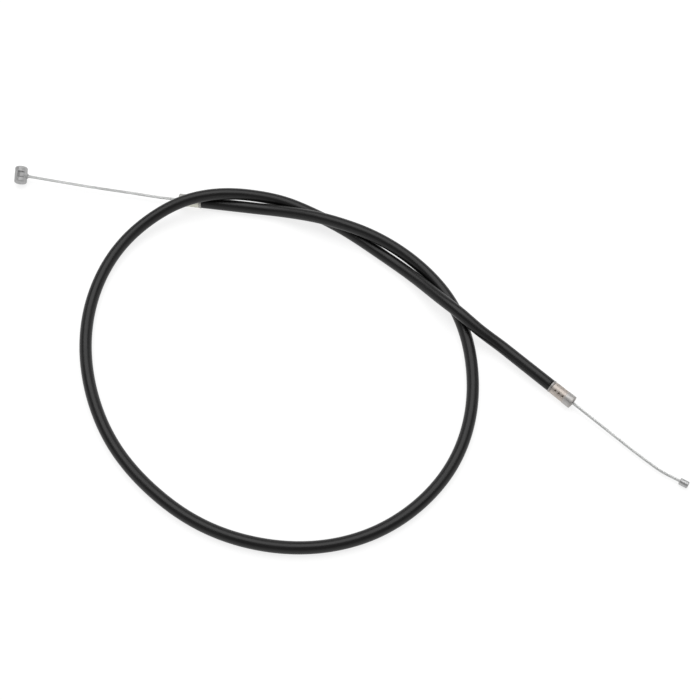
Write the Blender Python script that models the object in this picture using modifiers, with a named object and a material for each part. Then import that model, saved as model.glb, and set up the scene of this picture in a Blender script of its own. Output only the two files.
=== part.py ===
# Throttle cable: a sheathed cable that lies in one loose loop, its runs twisted round each other.
# The throttle end carries a barrel nipple across its wire, the carburettor end a small cylinder nipple.
# Metres, +Z up. It lies on the plane z = 0, and the origin is the middle of its footprint.

import math

import bmesh
import bpy
import numpy as np
from mathutils import Matrix, Vector

COLLECTION = "throttle_cable"

# Inner wire, and the gap round it in the liner, in the ferrules' holes and in the nipples
WIRE_DIAMETER = 0.0012
WIRE_RUNNING_GAP = 0.00035
WIRE_SEAT_GAP = 0.0003

# Casing, from the inside out
LINER_WALL = 0.00025
LINER_GAP = 0.0002
CONDUIT_WALL = 0.00045
CONDUIT_GAP = 0.00015
JACKET_WALL = 0.0005
BUTT_GAP = 0.0003

# Ferrules
THROTTLE_FERRULE_LENGTH = 0.010
CARBURETTOR_FERRULE_LENGTH = 0.0109
FERRULE_SLEEVE_WALL = 0.00055
FERRULE_HEAD_STEP = 0.00015
FERRULE_HEAD_LENGTH = 0.0036
FERRULE_LIP_STEP = 0.00010
FERRULE_LIP_LENGTH = 0.0007
FERRULE_END_WALL = 0.0012
FERRULE_EDGE = 0.00025

# Crimp dents in the ferrules' sleeves
DENT_RADIUS = 0.0010
DENT_DEPTH = 0.00028
DENT_SPACING = 0.0018
DENTS_IN_ROW = 3
DENT_ROWS = 4
DENT_TO_HEAD = 0.0008
THROTTLE_DENT_ANGLE = 60.0
CARBURETTOR_DENT_ANGLE = 38.0

# Barrel nipple at the throttle end
BARREL_DIAMETER = 0.0054
BARREL_LENGTH = 0.0073
BARREL_EDGE = 0.0008
BOSS_BASE_DIAMETER = 0.0030
BOSS_TIP_DIAMETER = 0.0023
BOSS_HEIGHT = 0.0006
RECESS_LENGTH = 0.0027
RECESS_SETOFF = 0.0002
RECESS_WIDTH = 0.0029
RECESS_DEPTH = 0.0006
RECESS_TURN = 14.0
WIRE_END_SETBACK = 0.0004

# Cylinder nipple at the carburettor end
NIPPLE_DIAMETER = 0.0028
NIPPLE_LENGTH = 0.0036
NIPPLE_EDGE = 0.00025
NIPPLE_END_WALL = 0.0008

# Travel of the inner wire from where it lies: pulled out at the throttle end, and drawn back
PULL_TRAVEL = 0.025
RETURN_TRAVEL = 0.005
STUB_GUIDE = 0.004
HIDDEN_END_GAP = 0.0005

# How far the cable reaches as it lies: the loop's left side from the origin, and each bare wire
LAY_REACH = 0.100
THROTTLE_WIRE_REACH = 0.0714
CARBURETTOR_WIRE_REACH = 0.0508
STRAIGHT_MARGIN = 0.0015

# How the cable lies: gaps to the floor and between crossing runs
FLOOR_GAP = 0.00005
CROSSING_GAP = 0.0003
NIPPLE_FLOOR_GAP = 0.00025

# Directions of the two mouths, the nipples and the wires' ends
THROTTLE_HEADING = 172.3
CARBURETTOR_HEADING = -42.0
CARBURETTOR_DIP = 2.5
BARREL_HEADING = 88.0
BARREL_RISE = 18.0
THROTTLE_WIRE_END_HEADING = 168.8
THROTTLE_WIRE_END_RISE = 1.2
NIPPLE_HEADING = -31.0

# Spacing of the points along the tubes
CASING_POINT_SPACING = 0.010
WIRE_POINT_SPACING = 0.0035
SAMPLES_PER_GAP = 60
ROUND_STEPS = 32

# Places of the two mouths: x and y in hundredths of the lay's reach
THROTTLE_MOUTH_SHARES = (-66.2, 71.8)
CARBURETTOR_MOUTH_SHARES = (96.9, -25.3)

# Route of the casing between its two straight ends, chosen by hand. Each point has x and y in
# hundredths of the lay's reach, then the step aside from the run that it lies against, in x and y,
# and the lift. These last three are shares of one whole crossing of a run over another.
CASING_ROUTE = (
    (-25.0, 65.9, 0, 0, 0.14),
    (-15.3, 63.1, 0, 0, 0.50),
    (-5.6, 59.8, 0, 0, 0.86),
    (3.8, 56.3, 0, 0, 1.00),
    (13.8, 52.1, 0, 0, 1.00),
    (24.0, 47.0, 0, 0, 0.75),
    (33.6, 40.6, 0, 0, 0.39),
    (42.3, 32.3, 0, 0, 0.12),
    (49.2, 22.5, 0, 0, 0.01),
    (54.5, 9.5, 0, 0, 0),
    (57.5, -10.0, 0, 0, 0),
    (55.9, -30.5, 0, 0, 0),
    (48.1, -51.4, 0, 0, 0),
    (34.5, -68.0, 0, 0, 0),
    (16.5, -79.6, 0, 0, 0),
    (-5.0, -84.9, 0, 0, 0),
    (-27.6, -83.4, 0, 0, 0),
    (-49.0, -75.8, 0, 0, 0),
    (-68.2, -62.2, 0, 0, 0),
    (-84.0, -44.4, 0, 0, 0),
    (-94.9, -22.5, 0, 0, 0),
    (-100.2, 3.0, 0, 0, 0),
    (-98.4, 26.5, 0, 0, 0.03),
    (-88.85, 48.05, 0, 0, 0.30),
    (-75.4, 61.0, 0, 0, 0.74),
    (-62.3, 71.1, -0.07, -0.645, 1.06),
    (-52.8, 69.8, 0.05, 0.12, 1.09),
    (-44.1, 68.6, 0.12, 0.61, 0.88),
    (-33.7, 67.2, 0.14, 0.955, 0.46),
    (-22.7, 65.4, 0.32, 0.97, 0.10),
    (-10.6, 61.5, 0.39, 0.66, 0.01),
    (6.2, 55.3, 0.05, 0.09, 0),
    (22.9, 47.6, -0.46, -0.53, 0.05),
    (35.6, 39.0, -0.67, -0.75, 0.12),
    (43.5, 30.8, -0.76, -0.66, 0.42),
    (49.6, 21.7, -0.69, -0.36, 0.83),
    (53.6, 12.5, -0.11, 0, 1.06),
    (55.8, 4.3, 0.98, 0.21, 0.76),
)

# Routes of the two bare wires, chosen by hand and ending at their nipples: x and y from the mouth in
# hundredths of the wire's reach, and the share of the way from the mouth's height to the nipple's
THROTTLE_WIRE_ROUTE = (
    (-24.1, 3.8, 0.08),
    (-48.7, 8.0, 0.29),
    (-73.7, 12.6, 0.61),
    (-98.5, 17.4, 1),
)
CARBURETTOR_WIRE_ROUTE = (
    (54.7, -49.2, 1.06),
    (65.9, -58.1, 1.04),
    (76.6, -64.4, 1),
)

# Radii that follow from the walls and gaps
WIRE_RADIUS = WIRE_DIAMETER / 2
WIRE_HOLE_RADIUS = WIRE_RADIUS + WIRE_RUNNING_GAP
LINER_RADIUS = WIRE_HOLE_RADIUS + LINER_WALL
CONDUIT_RADIUS = LINER_RADIUS + LINER_GAP + CONDUIT_WALL
SLEEVE_BORE_RADIUS = CONDUIT_RADIUS + CONDUIT_GAP
JACKET_RADIUS = CONDUIT_RADIUS + CONDUIT_GAP + JACKET_WALL
SLEEVE_RADIUS = SLEEVE_BORE_RADIUS + FERRULE_SLEEVE_WALL
HEAD_RADIUS = SLEEVE_RADIUS + FERRULE_HEAD_STEP
LIP_RADIUS = SLEEVE_RADIUS + FERRULE_LIP_STEP

# Heights and depths that follow
REST_HEIGHT = JACKET_RADIUS + FLOOR_GAP
CROSSING_LIFT = 2 * JACKET_RADIUS + CROSSING_GAP
FERRULE_HEIGHT = HEAD_RADIUS + FLOOR_GAP
BARREL_FLAT_HALF_LENGTH = BARREL_LENGTH / 2 - BARREL_EDGE
BARREL_FLAT_RADIUS = BARREL_DIAMETER / 2 - BARREL_EDGE
BARREL_TILT = math.radians(BARREL_RISE)
BARREL_DROP = BARREL_FLAT_HALF_LENGTH * math.sin(BARREL_TILT)
BARREL_DROP += BARREL_FLAT_RADIUS * math.cos(BARREL_TILT) + BARREL_EDGE
BARREL_HEIGHT = BARREL_DROP + FLOOR_GAP
NIPPLE_HEIGHT = NIPPLE_DIAMETER / 2 + NIPPLE_FLOOR_GAP
CHANNEL_DEPTH = PULL_TRAVEL + RETURN_TRAVEL + STUB_GUIDE + HIDDEN_END_GAP
THROTTLE_STUB = PULL_TRAVEL + STUB_GUIDE
CARBURETTOR_STUB = RETURN_TRAVEL + STUB_GUIDE
THROTTLE_STRAIGHT = RETURN_TRAVEL + STRAIGHT_MARGIN
CARBURETTOR_STRAIGHT = PULL_TRAVEL + STRAIGHT_MARGIN


def heading(degrees, dip=0.0):
    """A unit direction from its angle in the floor's plane and its angle below it."""
    turn = math.radians(degrees)
    fall = math.radians(dip)
    return Vector((math.cos(turn) * math.cos(fall), math.sin(turn) * math.cos(fall), -math.sin(fall)))


def on_lay(place, height):
    """A point from its place in hundredths of the lay's reach, and its height."""
    return Vector((place[0] * LAY_REACH / 100, place[1] * LAY_REACH / 100, height))


def wire_route(mouth, route, reach, end_height):
    """A bare wire's route points past its mouth, the last of them at its nipple."""
    points = []
    for x, y, share in route:
        rise = share * (end_height - mouth.z)
        points.append(mouth + Vector((x * reach / 100, y * reach / 100, rise)))
    return points


THROTTLE_AXIS = heading(THROTTLE_HEADING)
THROTTLE_ORIGIN = on_lay(THROTTLE_MOUTH_SHARES, FERRULE_HEIGHT)
THROTTLE_BARE = wire_route(THROTTLE_ORIGIN, THROTTLE_WIRE_ROUTE, THROTTLE_WIRE_REACH, BARREL_HEIGHT)
THROTTLE_WIRE_END = heading(THROTTLE_WIRE_END_HEADING, -THROTTLE_WIRE_END_RISE)
BARREL_CENTRE = THROTTLE_BARE[-1]
BARREL_AXIS = heading(BARREL_HEADING, -BARREL_RISE)
CARBURETTOR_AXIS = heading(CARBURETTOR_HEADING, CARBURETTOR_DIP)
CARBURETTOR_ORIGIN = on_lay(CARBURETTOR_MOUTH_SHARES, FERRULE_HEIGHT)
CARBURETTOR_BARE = wire_route(
    CARBURETTOR_ORIGIN, CARBURETTOR_WIRE_ROUTE, CARBURETTOR_WIRE_REACH, NIPPLE_HEIGHT
)
NIPPLE_START = CARBURETTOR_BARE[-1]


def clear_scene():
    for item in list(bpy.data.objects):
        bpy.data.objects.remove(item, do_unlink=True)


def make_collection(name, parent):
    collection = bpy.data.collections.new(name)
    parent.children.link(collection)
    return collection


def make_material(name, colour, roughness, metallic):
    material = bpy.data.materials.new(name)
    material.use_nodes = True
    shader = material.node_tree.nodes["Principled BSDF"]
    shader.inputs["Base Color"].default_value = (*colour, 1.0)
    shader.inputs["Roughness"].default_value = roughness
    shader.inputs["Metallic"].default_value = metallic
    return material


# Smooth routes

def end_slopes(points, gaps, first, last):
    """The slopes of the smooth cubic through the points, with its two end directions given."""
    count = len(points)
    matrix = np.zeros((count, count))
    right = np.zeros((count, 3))
    matrix[0, 0] = 1
    matrix[-1, -1] = 1
    right[0] = first
    right[-1] = last
    for i in range(1, count - 1):
        before = gaps[i - 1]
        after = gaps[i]
        matrix[i, i - 1] = after
        matrix[i, i] = 2 * (before + after)
        matrix[i, i + 1] = before
        right[i] = 3 * after / before * (points[i] - points[i - 1])
        right[i] += 3 * before / after * (points[i + 1] - points[i])
    return np.linalg.solve(matrix, right)


def smooth_points(through, first, last, spacing):
    """Points about one spacing apart along the smooth curve through the given points."""
    points = np.array([tuple(point) for point in through])
    gaps = np.linalg.norm(np.diff(points, axis=0), axis=1)
    slopes = end_slopes(points, gaps, tuple(first), tuple(last))
    fine = []
    for i, gap in enumerate(gaps):
        for step in range(SAMPLES_PER_GAP):
            t = step / SAMPLES_PER_GAP
            start = (1 + 2 * t) * (1 - t) ** 2 * points[i] + t * (1 - t) ** 2 * gap * slopes[i]
            end = t * t * (3 - 2 * t) * points[i + 1] + t * t * (t - 1) * gap * slopes[i + 1]
            fine.append(start + end)
    fine.append(points[-1])
    fine = np.array(fine)
    reach = np.concatenate(([0], np.cumsum(np.linalg.norm(np.diff(fine, axis=0), axis=1))))
    count = max(2, round(reach[-1] / spacing))
    wanted = np.linspace(0, reach[-1], count + 1)
    return [Vector([float(np.interp(s, reach, fine[:, k])) for k in range(3)]) for s in wanted]


def casing_bend():
    """The casing between the inner ends of its two straight leads."""
    inner_throttle = THROTTLE_ORIGIN - CHANNEL_DEPTH * THROTTLE_AXIS
    inner_carburettor = CARBURETTOR_ORIGIN - CHANNEL_DEPTH * CARBURETTOR_AXIS
    through = [inner_throttle]
    for x, y, aside_x, aside_y, lift in CASING_ROUTE:
        step = Vector((aside_x, aside_y, lift)) * CROSSING_LIFT
        through.append(on_lay((x, y), REST_HEIGHT) + step)
    through.append(inner_carburettor)
    return smooth_points(through, -THROTTLE_AXIS, CARBURETTOR_AXIS, CASING_POINT_SPACING)


def casing_points(throttle_depth, carburettor_depth):
    """The casing's line from one depth behind the throttle mouth to another behind the carburettor's."""
    points = []
    for part in (0.0, 0.5):
        depth = throttle_depth + part * (CHANNEL_DEPTH - throttle_depth)
        points.append(THROTTLE_ORIGIN - depth * THROTTLE_AXIS)
    points += BEND
    for part in (0.5, 0.0):
        depth = carburettor_depth + part * (CHANNEL_DEPTH - carburettor_depth)
        points.append(CARBURETTOR_ORIGIN - depth * CARBURETTOR_AXIS)
    return points


def throttle_wire_points():
    straight_end = THROTTLE_ORIGIN + THROTTLE_STRAIGHT * THROTTLE_AXIS
    last = THROTTLE_WIRE_END
    through = [straight_end] + THROTTLE_BARE
    points = [THROTTLE_ORIGIN - THROTTLE_STUB * THROTTLE_AXIS, THROTTLE_ORIGIN]
    points += smooth_points(through, THROTTLE_AXIS, last, WIRE_POINT_SPACING)
    points[-1] = BARREL_CENTRE + (BARREL_DIAMETER / 2 - WIRE_END_SETBACK) * last
    return points


def carburettor_wire_points():
    straight_end = CARBURETTOR_ORIGIN + CARBURETTOR_STRAIGHT * CARBURETTOR_AXIS
    last = heading(NIPPLE_HEADING)
    through = [straight_end] + CARBURETTOR_BARE
    points = [CARBURETTOR_ORIGIN - CARBURETTOR_STUB * CARBURETTOR_AXIS, CARBURETTOR_ORIGIN]
    points += smooth_points(through, CARBURETTOR_AXIS, last, WIRE_POINT_SPACING)
    bore_depth = NIPPLE_LENGTH - NIPPLE_END_WALL
    points.append(NIPPLE_START + (bore_depth - WIRE_SEAT_GAP) * last)
    return points


# Modelling helpers

def add_object(name, data, collection, material=None, place=None):
    item = bpy.data.objects.new(name, data)
    collection.objects.link(item)
    if material:
        data.materials.append(material)
    if place is not None:
        item.matrix_world = place
    return item


def tube_curve(name, points, radius, resolution, caps, collection, material=None, origin=None):
    """A round tube along the points, as a curve whose object stands at the given origin."""
    origin = origin or Vector((0, 0, 0))
    curve = bpy.data.curves.new(name, "CURVE")
    curve.dimensions = "3D"
    curve.bevel_depth = radius
    curve.bevel_resolution = resolution
    curve.use_fill_caps = caps
    spline = curve.splines.new("POLY")
    spline.points.add(len(points) - 1)
    for target, point in zip(spline.points, points):
        target.co = (*(point - origin), 1)
    return add_object(name, curve, collection, material, Matrix.Translation(origin))


def hollow_tube(name, points, radius, wall, resolution, material):
    """An open tube along the points, given its wall inwards."""
    guide = tube_curve(name + "_guide", points, radius, resolution, False, CUTTERS)
    bpy.context.view_layer.update()
    evaluated = guide.evaluated_get(bpy.context.evaluated_depsgraph_get())
    mesh = bpy.data.meshes.new_from_object(evaluated)
    mesh.name = name
    mesh.materials.clear()
    bpy.data.objects.remove(guide, do_unlink=True)
    tube = add_object(name, mesh, PARTS, material)
    solidify = tube.modifiers.new("Wall", "SOLIDIFY")
    solidify.thickness = wall
    solidify.offset = -1
    solidify.use_even_offset = True
    mesh.shade_smooth()
    mesh.set_sharp_from_angle(angle=math.radians(60))
    return tube


def turned(name, profile, material, place, collection=None):
    """A turned piece: a closed profile of radius and height, run down its outer side, about its own Z."""
    mesh = bpy.data.meshes.new(name)
    edges = [(i, (i + 1) % len(profile)) for i in range(len(profile))]
    mesh.from_pydata([(radius, 0, height) for radius, height in profile], edges, [])
    item = add_object(name, mesh, collection or PARTS, material, place)
    screw = item.modifiers.new("Turn", "SCREW")
    screw.steps = ROUND_STEPS
    screw.render_steps = ROUND_STEPS
    screw.use_merge_vertices = True
    screw.merge_threshold = 0.00001
    screw.use_smooth_shade = True
    return item


def cylinder_mesh(name, radius, length, top_radius=None, segments=ROUND_STEPS):
    """A smooth-shaded cylinder or cone about Z, centred on its origin."""
    mesh = bpy.data.meshes.new(name)
    shape = bmesh.new()
    bmesh.ops.create_cone(
        shape,
        cap_ends=True,
        segments=segments,
        radius1=radius,
        radius2=radius if top_radius is None else top_radius,
        depth=length,
    )
    shape.to_mesh(mesh)
    shape.free()
    mesh.shade_smooth()
    mesh.set_sharp_from_angle(angle=math.radians(50))
    return mesh


def as_cutter(item):
    item.hide_render = True
    item.display_type = "WIRE"
    return item


def add_boolean(item, other, operation):
    modifier = item.modifiers.new(other.name, "BOOLEAN")
    modifier.operation = operation
    modifier.solver = "EXACT"
    modifier.object = other


def add_edge(item, width):
    bevel = item.modifiers.new("Edge", "BEVEL")
    bevel.width = width
    bevel.segments = 2
    bevel.limit_method = "ANGLE"
    bevel.angle_limit = math.radians(50)


def facing(origin, axis, up=Vector((0, 0, 1))):
    """A place at the origin whose Z runs along the axis and whose X is as near up as it can be."""
    z = axis.normalized()
    x = (up - up.dot(z) * z).normalized()
    y = z.cross(x)
    turn = Matrix((x, y, z)).transposed().to_4x4()
    return Matrix.Translation(origin) @ turn


# Pieces of the casing

def make_casing():
    throttle_seat = THROTTLE_FERRULE_LENGTH + BUTT_GAP
    carburettor_seat = CARBURETTOR_FERRULE_LENGTH + BUTT_GAP
    hidden_seat = FERRULE_END_WALL + BUTT_GAP
    jacket_line = casing_points(throttle_seat, carburettor_seat)
    inner_line = casing_points(hidden_seat, hidden_seat)
    black = make_material("black_pvc", (0.018, 0.018, 0.020), 0.38, 0.0)
    steel = make_material("conduit_steel", (0.45, 0.45, 0.46), 0.40, 1.0)
    white = make_material("liner_plastic", (0.75, 0.76, 0.74), 0.45, 0.0)
    strand = make_material("hidden_wire_steel", (0.55, 0.56, 0.57), 0.35, 1.0)
    hollow_tube("outer_jacket", jacket_line, JACKET_RADIUS, JACKET_WALL, 4, black)
    hollow_tube("conduit", inner_line, CONDUIT_RADIUS, CONDUIT_WALL, 2, steel)
    hollow_tube("liner", inner_line, LINER_RADIUS, LINER_WALL, 2, white)
    tube_curve("inner_wire_run", BEND, WIRE_RADIUS, 2, True, PARTS, strand)


def ferrule_profile(length):
    """The ferrule's section from its mouth at height 0 down to the casing end."""
    shoulder = -FERRULE_HEAD_LENGTH
    lip = FERRULE_LIP_LENGTH - length
    edge = FERRULE_EDGE
    return (
        (WIRE_HOLE_RADIUS + edge, 0),
        (HEAD_RADIUS - edge, 0),
        (HEAD_RADIUS, -edge),
        (HEAD_RADIUS, shoulder),
        (SLEEVE_RADIUS, shoulder - FERRULE_HEAD_STEP),
        (SLEEVE_RADIUS, lip + FERRULE_LIP_STEP),
        (LIP_RADIUS, lip),
        (LIP_RADIUS, FERRULE_LIP_STEP - length),
        (SLEEVE_RADIUS, -length),
        (SLEEVE_BORE_RADIUS, -length),
        (SLEEVE_BORE_RADIUS, -FERRULE_END_WALL),
        (WIRE_HOLE_RADIUS, -FERRULE_END_WALL),
        (WIRE_HOLE_RADIUS, -edge),
    )


def dent_cutter(name, first_angle, place):
    """Balls that press the rows of crimp dents into a ferrule's sleeve."""
    mesh = bpy.data.meshes.new(name)
    shape = bmesh.new()
    nearest = -(FERRULE_HEAD_LENGTH + FERRULE_HEAD_STEP + DENT_TO_HEAD)
    reach = SLEEVE_RADIUS - DENT_DEPTH + DENT_RADIUS
    for row in range(DENT_ROWS):
        angle = math.radians(first_angle) + math.tau * row / DENT_ROWS
        for station in range(DENTS_IN_ROW):
            height = nearest - station * DENT_SPACING
            centre = Vector((reach * math.cos(angle), reach * math.sin(angle), height))
            bmesh.ops.create_icosphere(
                shape, subdivisions=2, radius=DENT_RADIUS, matrix=Matrix.Translation(centre)
            )
    shape.to_mesh(mesh)
    shape.free()
    return as_cutter(add_object(name, mesh, CUTTERS, place=place))


def make_ferrule(name, length, dent_angle, origin, axis):
    plated = make_material(name + "_plating", (0.62, 0.60, 0.57), 0.32, 1.0)
    place = facing(origin, axis)
    ferrule = turned(name, ferrule_profile(length), plated, place)
    add_boolean(ferrule, dent_cutter(name + "_dents", dent_angle, place), "DIFFERENCE")


# Moving ends

def make_axis_empty(name, origin, axis):
    empty = bpy.data.objects.new(name, None)
    PARTS.objects.link(empty)
    empty.matrix_world = facing(origin, axis)
    return empty


def carry(empty, item):
    """Hangs the piece on the empty that stands on its joint's axis."""
    bpy.context.view_layer.update()
    place = item.matrix_world.copy()
    item.parent = empty
    item.matrix_parent_inverse = empty.matrix_world.inverted()
    item.matrix_world = place


def make_barrel():
    zinc = make_material("barrel_zinc", (0.42, 0.42, 0.42), 0.45, 0.9)
    place = facing(BARREL_CENTRE, BARREL_AXIS)
    barrel = add_object(
        "barrel_nipple",
        cylinder_mesh("barrel_nipple", BARREL_DIAMETER / 2, BARREL_LENGTH),
        PARTS,
        zinc,
        place,
    )
    add_edge(barrel, BARREL_EDGE)
    wire_line = THROTTLE_WIRE_END
    boss_length = BARREL_DIAMETER / 2 + BOSS_HEIGHT
    boss = add_object(
        "barrel_boss",
        cylinder_mesh("barrel_boss", BOSS_BASE_DIAMETER / 2, boss_length, BOSS_TIP_DIAMETER / 2),
        CUTTERS,
        place=facing(BARREL_CENTRE - boss_length / 2 * wire_line, -wire_line),
    )
    add_boolean(barrel, as_cutter(boss), "UNION")
    bore_length = 2 * (BARREL_DIAMETER + BOSS_HEIGHT)
    bore = add_object(
        "barrel_bore",
        cylinder_mesh("barrel_bore", WIRE_RADIUS + WIRE_SEAT_GAP, bore_length, segments=16),
        CUTTERS,
        place=facing(BARREL_CENTRE, wire_line),
    )
    add_boolean(barrel, as_cutter(bore), "DIFFERENCE")
    recess_mesh = bpy.data.meshes.new("barrel_recess")
    shape = bmesh.new()
    size = Matrix.Diagonal((2 * RECESS_DEPTH, RECESS_WIDTH, RECESS_LENGTH, 1))
    bmesh.ops.create_cube(shape, size=1, matrix=size)
    shape.to_mesh(recess_mesh)
    shape.free()
    turn = Matrix.Rotation(math.radians(RECESS_TURN), 4, "Z")
    side = place @ turn @ Matrix.Translation((BARREL_DIAMETER / 2, 0, -RECESS_SETOFF))
    recess = add_object("barrel_recess", recess_mesh, CUTTERS, place=side)
    add_boolean(barrel, as_cutter(recess), "DIFFERENCE")
    return barrel


def make_cylinder_nipple():
    zinc = make_material("nipple_zinc", (0.50, 0.50, 0.50), 0.35, 0.9)
    radius = NIPPLE_DIAMETER / 2
    bore = WIRE_RADIUS + WIRE_SEAT_GAP
    profile = (
        (0, NIPPLE_LENGTH),
        (radius - NIPPLE_EDGE, NIPPLE_LENGTH),
        (radius, NIPPLE_LENGTH - NIPPLE_EDGE),
        (radius, NIPPLE_EDGE),
        (radius - NIPPLE_EDGE, 0),
        (bore, 0),
        (bore, NIPPLE_LENGTH - NIPPLE_END_WALL),
        (0, NIPPLE_LENGTH - NIPPLE_END_WALL),
    )
    return turned_solid("cylinder_nipple", profile, zinc, facing(NIPPLE_START, heading(NIPPLE_HEADING)))


def turned_solid(name, profile, material, place):
    """A turned piece whose profile starts and ends on the axis, so it isn't joined across it."""
    item = turned(name, profile, material, place)
    mesh = item.data
    mesh.clear_geometry()
    edges = [(i, i + 1) for i in range(len(profile) - 1)]
    mesh.from_pydata([(radius, 0, height) for radius, height in profile], edges, [])
    return item


def make_throttle_end():
    steel = make_material("throttle_wire_steel", (0.60, 0.61, 0.62), 0.35, 1.0)
    empty = make_axis_empty("throttle_end_axis", THROTTLE_ORIGIN, THROTTLE_AXIS)
    wire = tube_curve(
        "throttle_wire", throttle_wire_points(), WIRE_RADIUS, 2, True, PARTS, steel, THROTTLE_ORIGIN
    )
    carry(empty, wire)
    carry(empty, make_barrel())


def make_carburettor_end():
    steel = make_material("carburettor_wire_steel", (0.60, 0.61, 0.62), 0.35, 1.0)
    empty = make_axis_empty("carburettor_end_axis", CARBURETTOR_ORIGIN, CARBURETTOR_AXIS)
    wire = tube_curve(
        "carburettor_wire", carburettor_wire_points(), WIRE_RADIUS, 2, True, PARTS, steel, CARBURETTOR_ORIGIN
    )
    carry(empty, wire)
    carry(empty, make_cylinder_nipple())


clear_scene()
PARTS = make_collection(COLLECTION, bpy.context.scene.collection)
CUTTERS = make_collection("cutters", bpy.context.scene.collection)
BEND = casing_bend()
make_casing()
make_ferrule(
    "throttle_ferrule", THROTTLE_FERRULE_LENGTH, THROTTLE_DENT_ANGLE, THROTTLE_ORIGIN, THROTTLE_AXIS
)
make_ferrule(
    "carburettor_ferrule",
    CARBURETTOR_FERRULE_LENGTH,
    CARBURETTOR_DENT_ANGLE,
    CARBURETTOR_ORIGIN,
    CARBURETTOR_AXIS,
)
make_throttle_end()
make_carburettor_end()
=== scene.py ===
# Throttle cable: its looks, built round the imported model. Metres, +Z up, in the model's own frame.
# The jacket, both bare wires, the ferrules and the nipples are modelled here in full detail.

import math

import bmesh
import bpy
import numpy as np
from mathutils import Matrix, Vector


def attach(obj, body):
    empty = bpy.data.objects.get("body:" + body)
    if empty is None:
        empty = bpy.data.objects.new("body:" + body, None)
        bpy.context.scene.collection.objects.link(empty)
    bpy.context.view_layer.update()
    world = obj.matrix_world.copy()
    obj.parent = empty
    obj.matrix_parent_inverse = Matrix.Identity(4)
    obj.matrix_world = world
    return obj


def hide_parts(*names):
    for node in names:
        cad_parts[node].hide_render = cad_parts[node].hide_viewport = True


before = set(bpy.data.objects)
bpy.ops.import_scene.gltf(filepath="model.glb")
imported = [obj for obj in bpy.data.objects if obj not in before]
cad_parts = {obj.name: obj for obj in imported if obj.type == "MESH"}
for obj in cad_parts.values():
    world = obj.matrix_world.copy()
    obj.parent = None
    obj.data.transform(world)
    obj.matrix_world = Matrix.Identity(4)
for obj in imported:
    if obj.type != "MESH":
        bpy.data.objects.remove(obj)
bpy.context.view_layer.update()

# Camera of the photograph's view: it looks down on the lying cable
CAMERA_LENS = 61.92
CAMERA_SENSOR = 36.0
CAMERA_NEAREST = 0.001
CAMERA_PLACE = (0.0081, -0.2246, 0.4403)
CAMERA_TILT = 27.0
camera_data = bpy.data.cameras.new("camera")
camera_data.lens = CAMERA_LENS
camera_data.sensor_width = CAMERA_SENSOR
camera_data.clip_start = CAMERA_NEAREST
camera = bpy.data.objects.new("camera", camera_data)
bpy.context.scene.collection.objects.link(camera)
camera.location = CAMERA_PLACE
camera.rotation_euler = (math.radians(CAMERA_TILT), 0.0, 0.0)
bpy.context.scene.camera = camera

# Sizes of the real pieces, as in the model
WIRE_RADIUS = 0.0006
WIRE_HOLE_RADIUS = 0.00095
JACKET_RADIUS = 0.0025
JACKET_WALL = 0.0005
SLEEVE_RADIUS = 0.00255
HEAD_RADIUS = 0.0027
LIP_RADIUS = 0.00265
SLEEVE_BORE_RADIUS = 0.0020
FERRULE_HEAD_LENGTH = 0.0036
FERRULE_LIP_LENGTH = 0.0007
FERRULE_END_WALL = 0.0012
THROTTLE_FERRULE_LENGTH = 0.010
CARBURETTOR_FERRULE_LENGTH = 0.0109
DENT_DEPTH = 0.00030
DENT_SPACING = 0.0018
DENTS_IN_ROW = 3
DENT_ROWS = 4
FIRST_DENT = 0.00455
THROTTLE_DENT_ANGLE = 60.0
CARBURETTOR_DENT_ANGLE = 38.0
BARREL_RADIUS = 0.0027
BARREL_LENGTH = 0.0073
BARREL_EDGE = 0.0008
RECESS_LENGTH = 0.0027
RECESS_SETOFF = 0.0002
RECESS_WIDTH = 0.0029
RECESS_DEPTH = 0.0006
RECESS_TURN = 14.0
WIRE_END_SETBACK = 0.0004
NIPPLE_RADIUS = 0.0014
NIPPLE_LENGTH = 0.0036
NIPPLE_END_WALL = 0.0008
NIPPLE_WIRE_CLEARANCE = 0.0003
BUTT_GAP = 0.00008
CHANNEL_DEPTH = 0.0345
THROTTLE_STUB = 0.029
CARBURETTOR_STUB = 0.009
THROTTLE_STRAIGHT = 0.0065
CARBURETTOR_STRAIGHT = 0.0265

# How it lies, as in the model
LAY_REACH = 0.100
THROTTLE_WIRE_REACH = 0.0714
CARBURETTOR_WIRE_REACH = 0.0508
REST_HEIGHT = 0.00255
CROSSING_LIFT = 0.0053
FERRULE_HEIGHT = 0.00275
BARREL_TILT_DEGREES = 18.0
BARREL_TILT = math.radians(BARREL_TILT_DEGREES)
BARREL_FLOOR_GAP = 0.00005
NIPPLE_FLOOR_GAP = 0.00025
BARREL_FLAT_HALF_LENGTH = BARREL_LENGTH / 2 - BARREL_EDGE
BARREL_FLAT_RADIUS = BARREL_RADIUS - BARREL_EDGE
BARREL_DROP = BARREL_FLAT_HALF_LENGTH * math.sin(BARREL_TILT)
BARREL_DROP += BARREL_FLAT_RADIUS * math.cos(BARREL_TILT) + BARREL_EDGE
BARREL_HEIGHT = BARREL_DROP + BARREL_FLOOR_GAP
NIPPLE_HEIGHT = NIPPLE_RADIUS + NIPPLE_FLOOR_GAP

# Places on the lay, in percent of its reach
THROTTLE_MOUTH_SHARES = (-66.2, 71.8)
CARBURETTOR_MOUTH_SHARES = (96.9, -25.3)
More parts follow.
